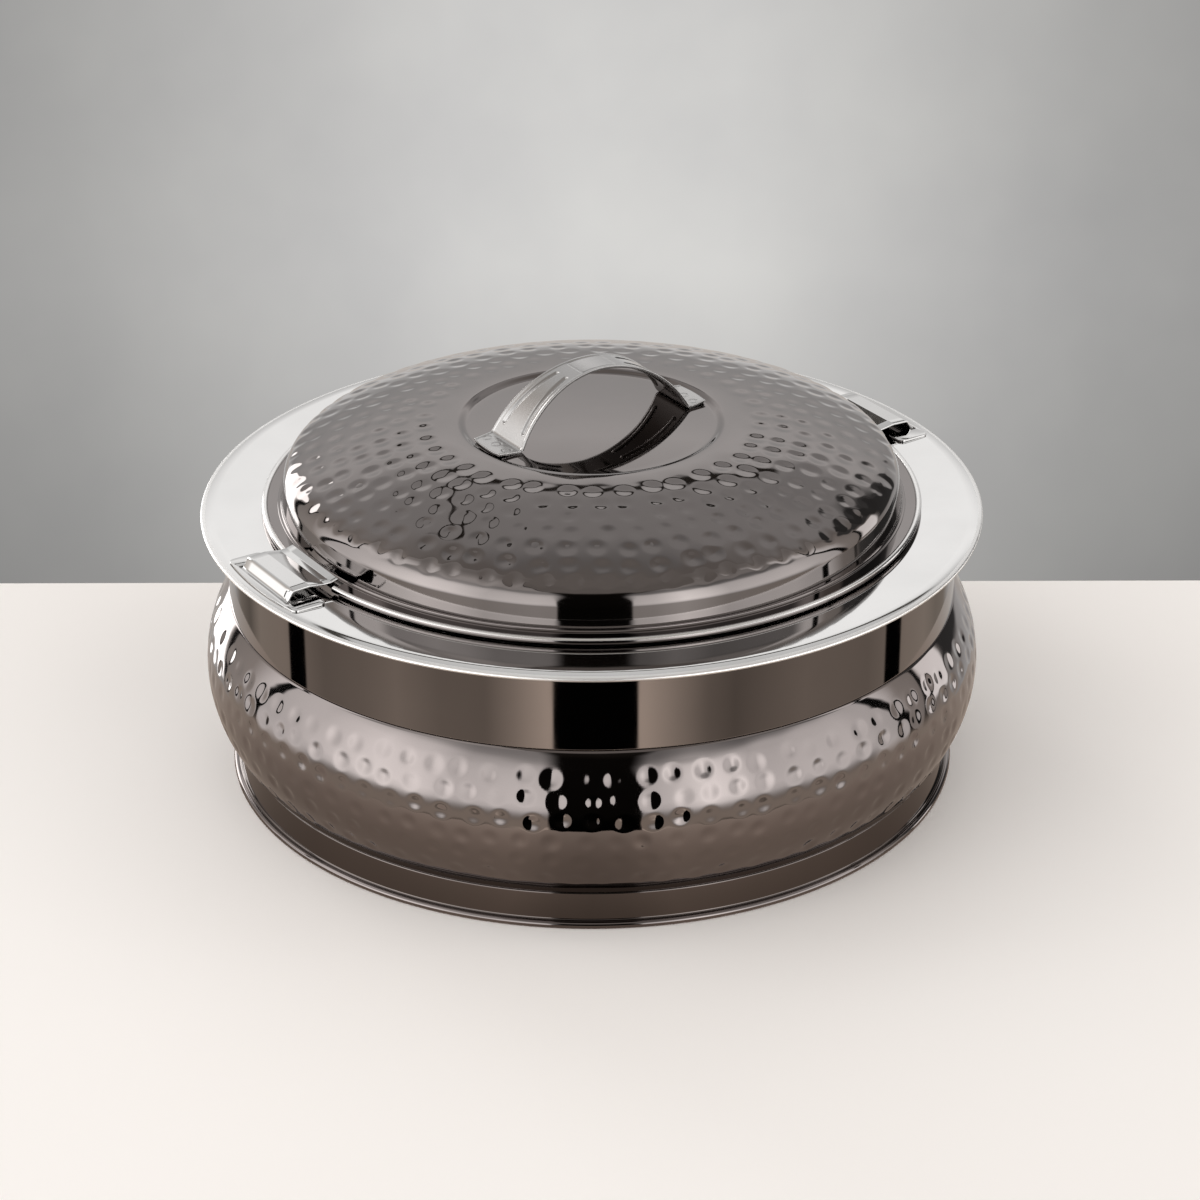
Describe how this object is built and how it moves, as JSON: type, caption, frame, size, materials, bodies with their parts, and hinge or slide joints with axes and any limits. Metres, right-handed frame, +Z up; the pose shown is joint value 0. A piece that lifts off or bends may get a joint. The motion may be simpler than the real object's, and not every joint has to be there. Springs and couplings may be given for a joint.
{
  "type": "insulated casserole",
  "caption": "Round double-walled steel serving casserole with a hammered belly, a wide brim with spring clips, and a domed lift-off lid with an arched strap handle that turns to lock.",
  "frame": {"origin": "middle of the footprint, on the surface that the pot stands on", "axes": "+Z up along the pot's axis; X runs through both clips and along the handle, +Y to the side"},
  "size_m": [0.361, 0.361, 0.1961],
  "materials": {
    "mirror_steel": "polished",
    "hammered_steel": "polished",
    "pressed_steel": "polished",
    "satin_steel": "satin",
    "foam": "matte"
  },
  "bodies": {
    "pot": {"base_ring": "mirror_steel", "base_plate": "satin_steel", "belly_shell": "hammered_steel", "neck_band": "mirror_steel", "brim": "mirror_steel", "inner_bowl": "satin_steel", "body_insulation": "foam", "left_clip": "pressed_steel", "right_clip": "pressed_steel"},
    "lid_core": {"lid_insulation": "foam"},
    "lid": {"lid_dome": "hammered_steel", "lid_rim": "mirror_steel", "lid_pan": "satin_steel", "handle_strap": "pressed_steel"}
  },
  "joints": [
    {"name": "lid_lift", "type": "slide", "parent": "pot", "child": "lid_core", "axis": [0, 0, 1], "range_m": [0, 0.15]},
    {"name": "lid_turn", "type": "hinge", "parent": "lid_core", "child": "lid", "pos_m": [0, 0, 0.15], "axis": [0, 0, 1], "continuous": true}
  ]
}
